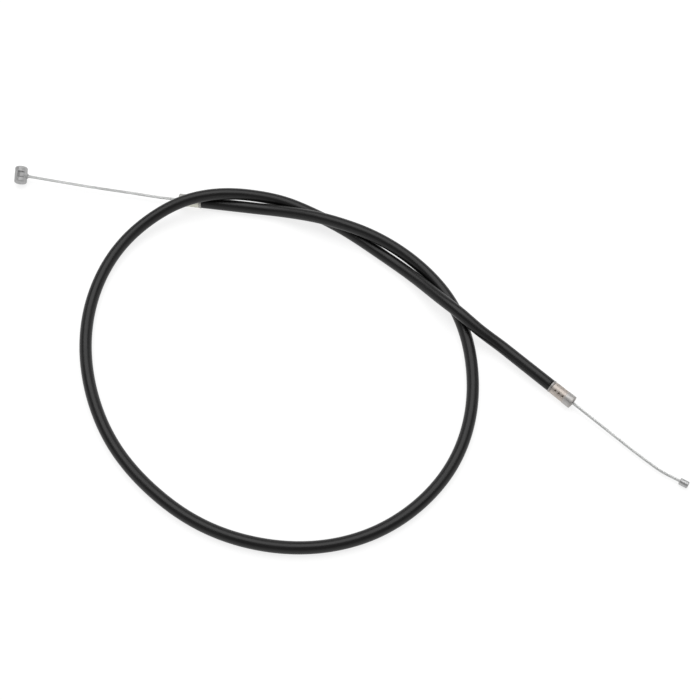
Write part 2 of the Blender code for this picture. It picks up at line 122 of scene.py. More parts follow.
# The casing's way: places, then the steps aside and the lift, which are shares of one crossing
CASING_ROUTE = (
    (-25.0, 65.9, 0, 0, 0.14),
    (-15.3, 63.1, 0, 0, 0.50),
    (-5.6, 59.8, 0, 0, 0.86),
    (3.8, 56.3, 0, 0, 1.00),
    (13.8, 52.1, 0, 0, 1.00),
    (24.0, 47.0, 0, 0, 0.75),
    (33.6, 40.6, 0, 0, 0.39),
    (42.3, 32.3, 0, 0, 0.12),
    (49.2, 22.5, 0, 0, 0.01),
    (54.5, 9.5, 0, 0, 0),
    (57.5, -10.0, 0, 0, 0),
    (55.9, -30.5, 0, 0, 0),
    (48.1, -51.4, 0, 0, 0),
    (34.5, -68.0, 0, 0, 0),
    (16.5, -79.6, 0, 0, 0),
    (-5.0, -84.9, 0, 0, 0),
    (-27.6, -83.4, 0, 0, 0),
    (-49.0, -75.8, 0, 0, 0),
    (-68.2, -62.2, 0, 0, 0),
    (-84.0, -44.4, 0, 0, 0),
    (-94.9, -22.5, 0, 0, 0),
    (-100.2, 3.0, 0, 0, 0),
    (-98.4, 26.5, 0, 0, 0.03),
    (-88.85, 48.05, 0, 0, 0.30),
    (-75.4, 61.0, 0, 0, 0.74),
    (-62.3, 71.1, -0.07, -0.645, 1.06),
    (-52.8, 69.8, 0.05, 0.12, 1.09),
    (-44.1, 68.6, 0.12, 0.61, 0.88),
    (-33.7, 67.2, 0.14, 0.955, 0.46),
    (-22.7, 65.4, 0.32, 0.97, 0.10),
    (-10.6, 61.5, 0.39, 0.66, 0.01),
    (6.2, 55.3, 0.05, 0.09, 0),
    (22.9, 47.6, -0.46, -0.53, 0.05),
    (35.6, 39.0, -0.67, -0.75, 0.12),
    (43.5, 30.8, -0.76, -0.66, 0.42),
    (49.6, 21.7, -0.69, -0.36, 0.83),
    (53.6, 12.5, -0.11, 0, 1.06),
    (55.8, 4.3, 0.98, 0.21, 0.76),
)
# The bare wires' ways: places from the mouth, in percent of the wire's reach, and shares of its rise
THROTTLE_WIRE_ROUTE = (
    (-24.1, 3.8, 0.08),
    (-48.7, 8.0, 0.29),
    (-73.7, 12.6, 0.61),
    (-98.5, 17.4, 1),
)
CARBURETTOR_WIRE_ROUTE = (
    (54.7, -49.2, 1.06),
    (65.9, -58.1, 1.04),
    (76.6, -64.4, 1),
)


def heading(degrees, dip=0.0):
    turn = math.radians(degrees)
    fall = math.radians(dip)
    return Vector((math.cos(turn) * math.cos(fall), math.sin(turn) * math.cos(fall), -math.sin(fall)))


def on_lay(place, height):
    return Vector((place[0] * LAY_REACH / 100, place[1] * LAY_REACH / 100, height))


def wire_route(mouth, route, reach, end_height):
    points = []
    for x, y, share in route:
        rise = share * (end_height - mouth.z)
        points.append(mouth + Vector((x * reach / 100, y * reach / 100, rise)))
    return points


THROTTLE_AXIS = heading(172.3)
THROTTLE_ORIGIN = on_lay(THROTTLE_MOUTH_SHARES, FERRULE_HEIGHT)
THROTTLE_BARE = wire_route(THROTTLE_ORIGIN, THROTTLE_WIRE_ROUTE, THROTTLE_WIRE_REACH, BARREL_HEIGHT)
THROTTLE_WIRE_END = heading(168.8, -1.2)
BARREL_CENTRE = THROTTLE_BARE[-1]
BARREL_AXIS = heading(88.0, -BARREL_TILT_DEGREES)
CARBURETTOR_AXIS = heading(-42.0, 2.5)
CARBURETTOR_ORIGIN = on_lay(CARBURETTOR_MOUTH_SHARES, FERRULE_HEIGHT)
CARBURETTOR_BARE = wire_route(
    CARBURETTOR_ORIGIN, CARBURETTOR_WIRE_ROUTE, CARBURETTOR_WIRE_REACH, NIPPLE_HEIGHT
)
NIPPLE_START = CARBURETTOR_BARE[-1]
NIPPLE_AXIS = heading(-31.0)


# Smooth lines

CURVE_STEPS = 60


def slopes_between(points, gaps, first, last):
    """The slope at each point of a smooth curve that starts and ends in the two given directions."""
    count = len(points)
    matrix = np.zeros((count, count))
    right = np.zeros((count, 3))
    matrix[0, 0] = 1
    matrix[-1, -1] = 1
    right[0] = first
    right[-1] = last
    for i in range(1, count - 1):
        before = gaps[i - 1]
        after = gaps[i]
        matrix[i, i - 1] = after
        matrix[i, i] = 2 * (before + after)
        matrix[i, i + 1] = before
        right[i] = 3 * after / before * (points[i] - points[i - 1])
        right[i] += 3 * before / after * (points[i + 1] - points[i])
    return np.linalg.solve(matrix, right)


def smooth_points(through, first, last):
    """A dense line along the smooth curve through the given points."""
    points = np.array([tuple(point) for point in through])
    gaps = np.linalg.norm(np.diff(points, axis=0), axis=1)
    slopes = slopes_between(points, gaps, tuple(first), tuple(last))
    fine = []
    for i, gap in enumerate(gaps):
        for step in range(CURVE_STEPS):
            t = step / CURVE_STEPS
            start = (1 + 2 * t) * (1 - t) ** 2 * points[i] + t * (1 - t) ** 2 * gap * slopes[i]
            end = t * t * (3 - 2 * t) * points[i + 1] + t * t * (t - 1) * gap * slopes[i + 1]
            fine.append(start + end)
    fine.append(points[-1])
    return np.array(fine)


def respaced(line, spacing):
    """The same line with even steps of about the spacing."""
    reach = np.concatenate(([0], np.cumsum(np.linalg.norm(np.diff(line, axis=0), axis=1))))
    count = max(2, round(reach[-1] / spacing))
    wanted = np.linspace(0, reach[-1], count + 1)
    return np.stack([np.interp(wanted, reach, line[:, k]) for k in range(3)], axis=1)


def line_length(line):
    return float(np.linalg.norm(np.diff(line, axis=0), axis=1).sum())


def casing_line(throttle_depth, carburettor_depth):
    """The casing's centre line between two depths behind the two mouths."""
    inner_throttle = THROTTLE_ORIGIN - CHANNEL_DEPTH * THROTTLE_AXIS
    inner_carburettor = CARBURETTOR_ORIGIN - CHANNEL_DEPTH * CARBURETTOR_AXIS
    through = [inner_throttle]
    for x, y, aside_x, aside_y, lift in CASING_ROUTE:
        step = Vector((aside_x, aside_y, lift)) * CROSSING_LIFT
        through.append(on_lay((x, y), REST_HEIGHT) + step)
    through.append(inner_carburettor)
    bend = smooth_points(through, -THROTTLE_AXIS, CARBURETTOR_AXIS)
    start = np.array([tuple(THROTTLE_ORIGIN - throttle_depth * THROTTLE_AXIS)])
    end = np.array([tuple(CARBURETTOR_ORIGIN - carburettor_depth * CARBURETTOR_AXIS)])
    return np.concatenate((start, bend, end))


def throttle_wire_line():
    straight_end = THROTTLE_ORIGIN + THROTTLE_STRAIGHT * THROTTLE_AXIS
    bend = smooth_points([straight_end] + THROTTLE_BARE, THROTTLE_AXIS, THROTTLE_WIRE_END)
    start = np.array([tuple(THROTTLE_ORIGIN - THROTTLE_STUB * THROTTLE_AXIS)])
    end = np.array([tuple(BARREL_CENTRE + (BARREL_RADIUS - WIRE_END_SETBACK) * THROTTLE_WIRE_END)])
    return np.concatenate((start, bend, end))


def carburettor_wire_line():
    straight_end = CARBURETTOR_ORIGIN + CARBURETTOR_STRAIGHT * CARBURETTOR_AXIS
    bend = smooth_points([straight_end] + CARBURETTOR_BARE, CARBURETTOR_AXIS, NIPPLE_AXIS)
    start = np.array([tuple(CARBURETTOR_ORIGIN - CARBURETTOR_STUB * CARBURETTOR_AXIS)])
    depth = NIPPLE_LENGTH - NIPPLE_END_WALL - NIPPLE_WIRE_CLEARANCE
    end = np.array([tuple(NIPPLE_START + depth * NIPPLE_AXIS)])
    return np.concatenate((start, bend, end))


# Mesh builders

# A rounded corner takes at most this share of each of its two sides
CORNER_SHARE = 0.48
CORNER_STEPS = 5
RIPPLE_WAVES = 6


def ring_mesh(name, centres, sides, others, radii, stations, spin=None, marks=None):
    """A closed skin over rings of points. Each point keeps its place on the straightened piece."""
    rings, around = radii.shape
    angles = np.linspace(0, math.tau, around, endpoint=False)[None, :]
    if spin is not None:
        angles = angles + spin[:, None]
    cos = radii * np.cos(angles)
    sin = radii * np.sin(angles)
    points = centres[:, None, :] + cos[..., None] * sides[:, None, :]
    points = points + sin[..., None] * others[:, None, :]
    straight = np.stack((cos, sin, np.repeat(stations[:, None], around, axis=1)), axis=2)
    points = np.concatenate((centres[:1], points.reshape(-1, 3), centres[-1:]))
    ends = np.array([[0, 0, stations[0]], [0, 0, stations[-1]]])
    straight = np.concatenate((ends[:1], straight.reshape(-1, 3), ends[1:]))
    faces = []
    for k in range(around):
        faces.append((0, 1 + (k + 1) % around, 1 + k))
    for i in range(rings - 1):
        low = 1 + i * around
        for k in range(around):
            after = (k + 1) % around
            faces.append((low + k, low + after, low + around + after, low + around + k))
    last = 1 + (rings - 1) * around
    for k in range(around):
        faces.append((last + k, last + (k + 1) % around, last + around))
    mesh = bpy.data.meshes.new(name)
    mesh.from_pydata(points.tolist(), [], faces)
    layer = mesh.attributes.new("straight", "FLOAT_VECTOR", "POINT")
    layer.data.foreach_set("vector", straight.astype(np.float32).ravel())
    # The marks say where a piece is painted darker, mostly as painted shade
    if marks is not None:
        values = np.concatenate(([marks[0].mean()], marks.ravel(), [marks[-1].mean()]))
        layer = mesh.attributes.new("painted_shade", "FLOAT", "POINT")
        layer.data.foreach_set("value", values.astype(np.float32))
    mesh.shade_smooth()
    return mesh


def outward(mesh):
    shape = bmesh.new()
    shape.from_mesh(mesh)
    bmesh.ops.recalc_face_normals(shape, faces=shape.faces)
    shape.to_mesh(mesh)
    shape.free()
    return mesh


def open_ring(mesh):
    """Takes off the end fans of a skin whose last ring lies on its first one, and joins its seam."""
    shape = bmesh.new()
    shape.from_mesh(mesh)
    fans = [f for f in shape.faces if len(f.verts) == 3]
    bmesh.ops.delete(shape, geom=fans, context="FACES_ONLY")
    loose = [v for v in shape.verts if not v.link_faces]
    bmesh.ops.delete(shape, geom=loose, context="VERTS")
    bmesh.ops.remove_doubles(shape, verts=shape.verts, dist=0.000001)
    bmesh.ops.recalc_face_normals(shape, faces=shape.faces)
    shape.to_mesh(mesh)
    shape.free()


def add_piece(name, mesh, material, body, stands_for):
    item = bpy.data.objects.new(name, mesh)
    bpy.context.scene.collection.objects.link(item)
    mesh.materials.append(material)
    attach(item, body)
    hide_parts(*stands_for)
    return item


def line_frames(line):
    """Directions along the line and two across it that don't twist."""
    along = np.gradient(line, axis=0)
    along /= np.linalg.norm(along, axis=1)[:, None]
    side = np.array([0.0, 0.0, 1.0])
    sides = []
    for direction in along:
        side = side - side.dot(direction) * direction
        side /= np.linalg.norm(side)
        sides.append(side)
    sides = np.array(sides)
    return along, sides, np.cross(along, sides)


def rounded(profile):
    """A profile of radius, height and corner size, with each corner turned into a round arc."""
    points = []
    for i, (radius, height, corner) in enumerate(profile):
        here = np.array([radius, height])
        if corner <= 0 or i in (0, len(profile) - 1):
            points.append(here)
            continue
        before = np.array(profile[i - 1][:2]) - here
        after = np.array(profile[i + 1][:2]) - here
        before_length = np.linalg.norm(before)
        after_length = np.linalg.norm(after)
        first = here + before / before_length * min(corner, before_length * CORNER_SHARE)
        last = here + after / after_length * min(corner, after_length * CORNER_SHARE)
        opening = before.dot(after) / before_length / after_length
        pull = math.sqrt(max(0.0, (1 - opening) / 2))
        for step in range(CORNER_STEPS + 1):
            t = step / CORNER_STEPS
            shares = np.array(((1 - t) ** 2, 2 * t * (1 - t) * pull, t * t))
            points.append((shares[0] * first + shares[1] * here + shares[2] * last) / shares.sum())
    return np.array(points)


def refined(points, longest):
    """The same outline with no step longer than the longest one."""
    fine = [points[0]]
    for before, after in zip(points[:-1], points[1:]):
        count = max(1, math.ceil(np.linalg.norm(after - before) / longest))
        for step in range(1, count + 1):
            fine.append(before + (after - before) * step / count)
    return np.array(fine)


def facing(axis):
    """Three square directions, of which the last one is the axis and the first one points up."""
    up = Vector((0, 0, 1))
    z = axis.normalized()
    x = (up - up.dot(z) * z).normalized()
    return x, z.cross(x), z


def turned_mesh(name, profile, around, origin, axis, longest, press=None):
    """A turned piece with fine rings. The press function moves its points in or out and marks them."""
    x, y, z = facing(axis)
    fine = refined(rounded(profile), longest)
    heights = fine[:, 1]
    radii = np.repeat(fine[:, :1], around, axis=1)
    marks = np.zeros_like(radii)
    if press is not None:
        angles = np.linspace(0, math.tau, around, endpoint=False)[None, :]
        radii, marks = press(radii, heights[:, None] + 0 * radii, angles + 0 * radii)
    centres = np.array(origin)[None, :] + heights[:, None] * np.array(z)[None, :]
    sides = np.repeat(np.array(x)[None, :], len(heights), axis=0)
    others = np.repeat(np.array(y)[None, :], len(heights), axis=0)
    return outward(ring_mesh(name, centres, sides, others, radii, heights, marks=marks))


def ease(values, low, high):
    """From 0 below the low value to 1 above the high one, without a corner."""
    t = np.clip((values - low) / (high - low), 0, 1)
    return t * t * (3 - 2 * t)


def ripple(a, b, seed):
    """A smooth, repeatable unevenness between about -1 and 1."""
    source = np.random.default_rng(seed)
    total = 0 * a
    for _ in range(RIPPLE_WAVES):
        fa, fb = source.uniform(-1, 1, 2)
        phase = source.uniform(0, math.tau)
        total = total + np.sin(a * fa + b * fb + phase)
    return total / (RIPPLE_WAVES / 2)


# Materials

# A noise's three scales are in waves a metre on the straightened piece: two across it, one along it
BLACK_DEEP = (0.0045, 0.0044, 0.0047, 1)
BLACK_WORN = (0.0075, 0.0072, 0.0074, 1)
# Dark brown of the ferrules' painted shade
PAINTED_SHADE_METAL = (0.16, 0.135, 0.115, 1)
SPECKED_METAL = (0.22, 0.19, 0.16, 1)
RUBBED_METAL = (0.45, 0.445, 0.44, 1)
DULL_METAL = (0.34, 0.335, 0.33, 1)
WIRE_DARK = (0.60, 0.605, 0.60, 1)
WIRE_PALE = (0.74, 0.745, 0.74, 1)


def grey(tone):
    return (tone, tone, tone, 1)


class Nodes:
    """A node tree whose nodes are added and joined by short calls."""

    def __init__(self, tree):
        self.tree = tree

    def node(self, kind, settings=None, **inputs):
        item = self.tree.nodes.new(kind)
        for key, value in (settings or {}).items():
            setattr(item, key, value)
        for key, value in inputs.items():
            self.feed(item.inputs[key.replace("_", " ")], value)
        return item

    def feed(self, socket, value):
        if isinstance(value, bpy.types.NodeSocket):
            self.tree.links.new(value, socket)
        else:
            socket.default_value = value

    def arithmetic(self, operation, first, second):
        item = self.node("ShaderNodeMath", {"operation": operation})
        self.feed(item.inputs[0], first)
        self.feed(item.inputs[1], second)
        return item.outputs[0]

    def spread(self, value, low, high, out_low, out_high, curve="SMOOTHSTEP"):
        """Turns a value's way from low to high into a way between two other numbers."""
        item = self.node("ShaderNodeMapRange", {"interpolation_type": curve})
        for key, number in (("Value", value), ("From Min", low), ("From Max", high)):
            self.feed(item.inputs[key], number)
        self.feed(item.inputs["To Min"], out_low)
        self.feed(item.inputs["To Max"], out_high)
        return item.outputs["Result"]

    def ray_is(self, *kinds):
        """1 for a ray of any of the kinds, and 0 for all others."""
        rays = self.node("ShaderNodeLightPath").outputs
        share = rays["Is " + kinds[0] + " Ray"]
        for kind in kinds[1:]:
            share = self.arithmetic("MAXIMUM", share, rays["Is " + kind + " Ray"])
        return share

    def mix(self, share, first, second):
        item = self.node("ShaderNodeMix")
        self.feed(item.inputs[0], share)
        self.feed(item.inputs[2], first)
        self.feed(item.inputs[3], second)
        return item.outputs[0]


class Look(Nodes):
    """A material on one Principled shader."""

    def __init__(self, name):
        self.material = bpy.data.materials.new(name)
        self.material.use_nodes = True
        super().__init__(self.material.node_tree)
        self.shader = self.tree.nodes["Principled BSDF"]

    def straight(self, scale):
        """The place on the straightened piece, stretched by the three scales."""
        place = self.node("ShaderNodeAttribute", {"attribute_name": "straight"})
        sized = self.node("ShaderNodeVectorMath", {"operation": "MULTIPLY"})
        self.feed(sized.inputs[0], place.outputs["Vector"])
        self.feed(sized.inputs[1], scale)
        return sized.outputs[0]

    def height(self):
        """How far along the straightened piece a place lies."""
        apart = self.node("ShaderNodeSeparateXYZ", Vector=self.straight((1, 1, 1)))
        return apart.outputs["Z"]

    def noise(self, vector, scale=1.0, detail=4.0, roughness=0.55):
        item = self.node("ShaderNodeTexNoise", Vector=vector, Scale=scale)
        self.feed(item.inputs["Detail"], detail)
        self.feed(item.inputs["Roughness"], roughness)
        return item.outputs["Fac"]

    def vary(self, noise, low, high):
        """A number between two others that follows a noise."""
        return self.spread(noise, 0.3, 0.7, low, high)

    def blend(self, share, first, second):
        item = self.node("ShaderNodeMix", {"data_type": "RGBA"})
        self.feed(item.inputs[0], share)
        self.feed(item.inputs[6], first)
        self.feed(item.inputs[7], second)
        return item.outputs[2]

    def mottle(self, noise, dark, pale):
        """A colour between two others that follows a noise."""
        return self.blend(self.vary(noise, 0, 1), dark, pale)

    def bump(self, height, strength, distance, normal=None):
        item = self.node("ShaderNodeBump", Height=height, Strength=strength, Distance=distance)
        if normal is not None:
            self.feed(item.inputs["Normal"], normal)
        return item.outputs["Normal"]

    def painted_shade(self, low, high, most):
        """How far a place is painted darker, from the marks that its piece's press left; most of these
        marks are painted shade.
        """
        mark = self.node("ShaderNodeAttribute", {"attribute_name": "painted_shade"}).outputs["Fac"]
        return self.spread(mark, low, high, 0, most)

    def set(self, **values):
        for key, value in values.items():
            self.feed(self.shader.inputs[key.replace("_", " ")], value)
        return self.material


def make_pvc():
    look = Look("black_pvc")
    lines = look.noise(look.straight((2600, 2600, 18)), detail=3)
    grain = look.noise(look.straight((5200, 5200, 5200)), detail=2)
    patches = look.noise(look.straight((120, 120, 60)), detail=5)
    colour = look.mottle(patches, BLACK_DEEP, BLACK_WORN)
    rough = look.spread(patches, 0.25, 0.75, 0.30, 0.38)
    rough = look.arithmetic("ADD", rough, look.vary(lines, -0.03, 0.03))
    relief = look.bump(lines, 0.25, 0.00002)
    relief = look.bump(grain, 0.20, 0.00001, relief)
    return look.set(Base_Color=colour, Roughness=rough, Normal=relief, Specular_IOR_Level=0.34)


def make_plating(name, length, seed, dark, pale):
    look = Look(name)
    turning = look.noise(look.straight((300, 300, 9000)), detail=3)
    patches = look.noise(look.straight((700, 700, 700)), scale=1 + 0.01 * seed, detail=5)
    specks = look.noise(look.straight((4200, 4200, 4200)), detail=3)
    colour = look.mottle(patches, dark, pale)
    # The head is rubbed to a plain grey by the socket that it sits in, and the lip is a dull grey
    step = -FERRULE_HEAD_LENGTH
    lip = FERRULE_LIP_LENGTH - length
    rubbed = look.spread(look.height(), step - 0.0010, step + 0.0008, 0, 0.85)
    colour = look.blend(rubbed, colour, RUBBED_METAL)
    dull = look.spread(look.height(), lip, lip + 0.0007, 0.8, 0)
    colour = look.blend(dull, colour, DULL_METAL)
    # Dents, the groove and the wire hole are painted dark brown as painted shade, and a band near the
    # mouth a little darker
    colour = look.blend(look.painted_shade(0.05, 0.9, 1), colour, PAINTED_SHADE_METAL)
    colour = look.blend(look.spread(specks, 0.62, 0.80, 0, 0.5), colour, SPECKED_METAL)
    rough = look.arithmetic("ADD", look.vary(patches, 0.44, 0.54), look.vary(turning, -0.04, 0.05))
    relief = look.bump(turning, 0.30, 0.00002)
    relief = look.bump(patches, 0.25, 0.00006, relief)
    return look.set(Base_Color=colour, Roughness=rough, Normal=relief, Metallic=1.0)


def make_zinc(name, dark, pale, rough_low, rough_high):
    look = Look(name)
    grains = look.noise(look.straight((2300, 2300, 2300)), detail=6, roughness=0.65)
    clouds = look.noise(look.straight((520, 520, 520)), detail=4)
    colour = look.mottle(clouds, dark, pale)
    # The marked places are painted darker: painted shade in the barrel's recess and pit and round the
    # nipple's hole, and a painted dark streak on the barrel
    colour = look.blend(look.painted_shade(0.05, 0.95, 0.75), colour, grey(0.16))
    rough = look.vary(clouds, rough_low, rough_high)
    rough = look.arithmetic("ADD", rough, look.vary(grains, -0.05, 0.06))
    relief = look.bump(grains, 0.35, 0.00005)
    relief = look.bump(clouds, 0.30, 0.0001, relief)
    return look.set(Base_Color=colour, Roughness=rough, Normal=relief, Metallic=0.85)


def make_strand(name):
    look = Look(name)
    drawn = look.noise(look.straight((3800, 3800, 240)), detail=4)
    patches = look.noise(look.straight((300, 300, 120)), detail=4)
    colour = look.mottle(patches, WIRE_DARK, WIRE_PALE)
    # The grooves between the strands are painted darker: painted shade
    colour = look.blend(look.painted_shade(0.35, 1.0, 0.6), colour, grey(0.20))
    rough = look.vary(drawn, 0.40, 0.52)
    relief = look.bump(drawn, 0.2, 0.00001)
    return look.set(Base_Color=colour, Roughness=rough, Normal=relief, Metallic=1.0)


def make_hidden(name, dark, pale, roughness, metallic):
    """For the CAD pieces inside the casing, which only the mouths show."""
    look = Look(name)
    place = look.node("ShaderNodeTexCoord").outputs["Object"]
    noise = look.noise(place, scale=900, detail=4)
    colour = look.mottle(noise, dark, pale)
    rough = look.vary(noise, roughness - 0.05, roughness + 0.05)
    return look.set(Base_Color=colour, Roughness=rough, Metallic=metallic)


# Jacket: one length of PVC hose between the two ferrules

JACKET_STEP = 0.0009
JACKET_SIDES = 56
JACKET_UNEVENNESS = 0.000012
# Each ring of a cut end: its way in from the end, and its way in from the skin
JACKET_RIM = ((0.00009, 0.00003), (0.00003, 0.00009), (0.0, 0.00020), (0.0, JACKET_WALL))


def jacket_rings(last):
    """The hose's rings, out along its skin and back inside: place on the line, way along, way in."""
    rings = [(0, step, drop) for step, drop in reversed(JACKET_RIM)]
    rings += [(i, 0.0, 0.0) for i in range(1, last)]
    rings += [(last, -step, drop) for step, drop in JACKET_RIM]
    rings += [(i, 0.0, JACKET_WALL) for i in range(last - 2, 2, -3)]
    rings.append(rings[0])
    return rings


def make_jacket():
    throttle_end = THROTTLE_FERRULE_LENGTH + BUTT_GAP
    carburettor_end = CARBURETTOR_FERRULE_LENGTH + BUTT_GAP
    line = respaced(casing_line(throttle_end, carburettor_end), JACKET_STEP)
    along, sides, others = line_frames(line)
    length = line_length(line)
    stations = np.linspace(0, length, len(line))
    angles = np.linspace(0, math.tau, JACKET_SIDES, endpoint=False)[None, :]
    down = stations[:, None]
    uneven = ripple(down * 160 + 0 * angles, 2 * np.cos(angles) + 0 * down, seed=4)
    radii = JACKET_RADIUS + JACKET_UNEVENNESS * uneven
    rings = jacket_rings(len(line) - 1)
    index = np.array([i for i, _, _ in rings])
    shift = np.array([step for _, step, _ in rings])[:, None]
    drop = np.array([drop for _, _, drop in rings])[:, None]
    centres = line[index] + along[index] * shift
    skins = radii[index] - drop
    mesh = ring_mesh("jacket", centres, sides[index], others[index], skins, stations[index])
    open_ring(mesh)
    jacket = add_piece("jacket", mesh, make_pvc(), "casing", ("outer_jacket",))
    return jacket


# Ferrules: turned end sleeves with a lip, a groove, crimp dents and a head

FERRULE_SIDES = 120
FERRULE_STEP = 0.00014
FERRULE_UNEVENNESS = 0.000010
MOUTH_CHAMFER = 0.00025
MOUTH_CHAMFER_DEPTH = 0.00022
HEAD_STEP = 0.00018
OUTER_SKIN = 0.0003
GROOVE_DEPTH = 0.00014
# The groove's places, counted from the lip's inner edge
GROOVE_START = 0.00012
GROOVE_END = 0.00030
GROOVE_TOP = 0.00042
# A dent is flat in its middle, slopes up to its reach, and has a low swell round it
DENT_FLAT = 0.00022
DENT_REACH = 0.00072
DENT_SWELL_AT = 0.00085
DENT_SWELL_WIDTH = 0.00016
DENT_SWELL_HEIGHT = 0.000022
DENT_STRETCH_ACROSS = 0.85
DENT_STRETCH_ALONG = 1.15
# Plating tones, dark and pale: the throttle ferrule's is creamier than the other's
THROTTLE_PLATING = ((0.56, 0.555, 0.485, 1), (0.70, 0.695, 0.615, 1))
CARBURETTOR_PLATING = ((0.43, 0.385, 0.350, 1), (0.54, 0.488, 0.446, 1))


def ferrule_profile(length):
    """Radius, height from the mouth and corner size, from the hole round the outside and back."""
    foot = -length
    lip = foot + FERRULE_LIP_LENGTH
    return (
        (WIRE_HOLE_RADIUS, -FERRULE_END_WALL, 0.00004),
        (WIRE_HOLE_RADIUS, -MOUTH_CHAMFER_DEPTH, 0.00012),
        (WIRE_HOLE_RADIUS + MOUTH_CHAMFER, 0.0, 0.00008),
        (HEAD_RADIUS, 0.0, 0.00026),
        (HEAD_RADIUS, -FERRULE_HEAD_LENGTH, 0.00008),
        (SLEEVE_RADIUS, -FERRULE_HEAD_LENGTH - HEAD_STEP, 0.00012),
        (SLEEVE_RADIUS, lip + GROOVE_TOP, 0.00008),
        (SLEEVE_RADIUS - GROOVE_DEPTH, lip + GROOVE_END, 0.00008),
        (SLEEVE_RADIUS - GROOVE_DEPTH, lip + GROOVE_START, 0.00006),
        (LIP_RADIUS, lip, 0.00010),
        (LIP_RADIUS, foot, 0.00016),
        (SLEEVE_BORE_RADIUS, foot, 0.00010),
        (SLEEVE_BORE_RADIUS, -FERRULE_END_WALL, 0.0001),
        (WIRE_HOLE_RADIUS, -FERRULE_END_WALL, 0.00004),
    )


def dents(heights, angles, first_angle):
    """The crimp dents and the swell round each of them, both from 0 to 1."""
    depth = np.zeros_like(heights)
    swell = np.zeros_like(heights)
    for row in range(DENT_ROWS):
        turn = math.radians(first_angle) + math.tau * row / DENT_ROWS
        across = (np.mod(angles - turn + math.pi, math.tau) - math.pi) * SLEEVE_RADIUS
        for station in range(DENTS_IN_ROW):
            down = heights + (FIRST_DENT + station * DENT_SPACING)
            away = np.sqrt(across ** 2 * DENT_STRETCH_ACROSS + down ** 2 * DENT_STRETCH_ALONG)
            depth = np.maximum(depth, 1 - ease(away, DENT_FLAT, DENT_REACH))
            swell = np.maximum(swell, np.exp(-((away - DENT_SWELL_AT) / DENT_SWELL_WIDTH) ** 2))
    return depth, swell


def ferrule_press(length, first_angle, seed):
    lip = FERRULE_LIP_LENGTH - length

    def press(radii, heights, angles):
        outer = radii > SLEEVE_RADIUS - OUTER_SKIN
        groove = ease(heights, lip, lip + 0.0001)
        groove *= 1 - ease(heights, lip + GROOVE_END, lip + 0.00045)
        depth, swell = dents(heights, angles, first_angle)
        uneven = ripple(heights * 2500, 3 * np.cos(angles) + 2 * np.sin(angles), seed)
        change = DENT_SWELL_HEIGHT * swell - DENT_DEPTH * depth + FERRULE_UNEVENNESS * uneven
        mouth = ease(heights, -0.0012, -0.0003) * (radii > HEAD_RADIUS - 0.0004)
        # The crimp dents and the groove are painted darker as painted shade, and a band near the mouth
        # is painted a little darker too
        marks = outer * np.maximum(np.maximum(depth * 0.9, groove * 0.35), 0.30 * mouth)
        # Round the wire hole the end face and the hole are painted dark: painted shade
        marks = np.where(radii < SLEEVE_BORE_RADIUS - 0.00005, 0.8, marks)
        return radii + outer * change, marks
    return press


def make_ferrule(name, length, dent_angle, origin, axis, seed, tones):
    press = ferrule_press(length, dent_angle, seed)
    mesh = turned_mesh(name, ferrule_profile(length), FERRULE_SIDES, origin, axis, FERRULE_STEP, press)
    open_ring(mesh)
    plating = make_plating(name + "_plating", length, seed, *tones)
    return add_piece(name + "_shell", mesh, plating, "casing", (name,))


# Bare wires: twelve outer strands, laid in a spiral

STRANDS = 12
STRAND_OVERLAP = 1.02
LAY_LENGTH = 0.0105
WIRE_SIDES = 96
WIRE_STEP = 0.00045


def strand_radii():
    """The wire's outline, with lobes that meet in narrow grooves, and how deep each point lies."""
    half = math.pi / STRANDS
    centre = WIRE_RADIUS / (1 + math.sin(half) * STRAND_OVERLAP)
    lobe = WIRE_RADIUS - centre
    angles = np.linspace(0, math.tau, WIRE_SIDES, endpoint=False)
    local = np.abs(np.mod(angles + half, 2 * half) - half)
    radii = centre * np.cos(local)
    radii = radii + np.sqrt(np.maximum(lobe ** 2 - (centre * np.sin(local)) ** 2, 0))
    groove = (WIRE_RADIUS - radii) / (WIRE_RADIUS - radii.min())
    return radii, groove


def make_wire(name, line, body, material, stands_for):
    line = respaced(line, WIRE_STEP)
    _, sides, others = line_frames(line)
    stations = np.linspace(0, line_length(line), len(line))
    radii, groove = strand_radii()
    radii = np.repeat(radii[None, :], len(line), axis=0)
    # How deep each point lies, which sets the painted shade in the grooves
    marks = np.repeat(groove[None, :], len(line), axis=0)
    spin = stations / LAY_LENGTH * math.tau
    mesh = ring_mesh(name, line, sides, others, radii, stations, spin, marks)
    wire = add_piece(name, mesh, material, body, (stands_for,))
    return wire, line


# Barrel nipple: cast zinc with rounded edges, a recess, a boss and the wire's end

BARREL_SIDES = 160
BARREL_STEP = 0.00009
BARREL_UNEVENNESS = 0.000012
BARREL_SKIN = 0.00002
BARREL_TONES = (0.42, 0.53)
RECESS_EDGE_INSIDE = 0.00010
RECESS_EDGE_OUTSIDE = 0.00006
# The recess is on one side of the barrel only, within this half angle in radians
RECESS_HALF_TURN = 1.2
# A painted dark streak down the barrel's side, standing in for a dark reflection: its turn and width
DARK_STREAK_TURN = 26.0
DARK_STREAK_WIDTH = 0.16
WIRE_END_PIT_DEPTH = 0.00044
WIRE_END_PIT_FLAT = 0.00066
WIRE_END_PIT_REACH = 0.00080
BOSS_SIDES = 72
BOSS_STEP = 0.0001
# The boss where the wire enters: radius, height over the barrel's skin and corner size
BOSS_PROFILE = (
    (0.0, -0.0008, 0),
    (0.00190, -0.0008, 0),
    (0.00175, -0.00045, 0.0001),
    (0.00130, -0.00005, 0.0003),
    (0.00090, 0.0006, 0.00012),
    (WIRE_RADIUS + 0.00005, 0.0006, 0.00008),
    (WIRE_RADIUS + 0.00003, -0.0002, 0),
    (0.0, -0.0002, 0),
)


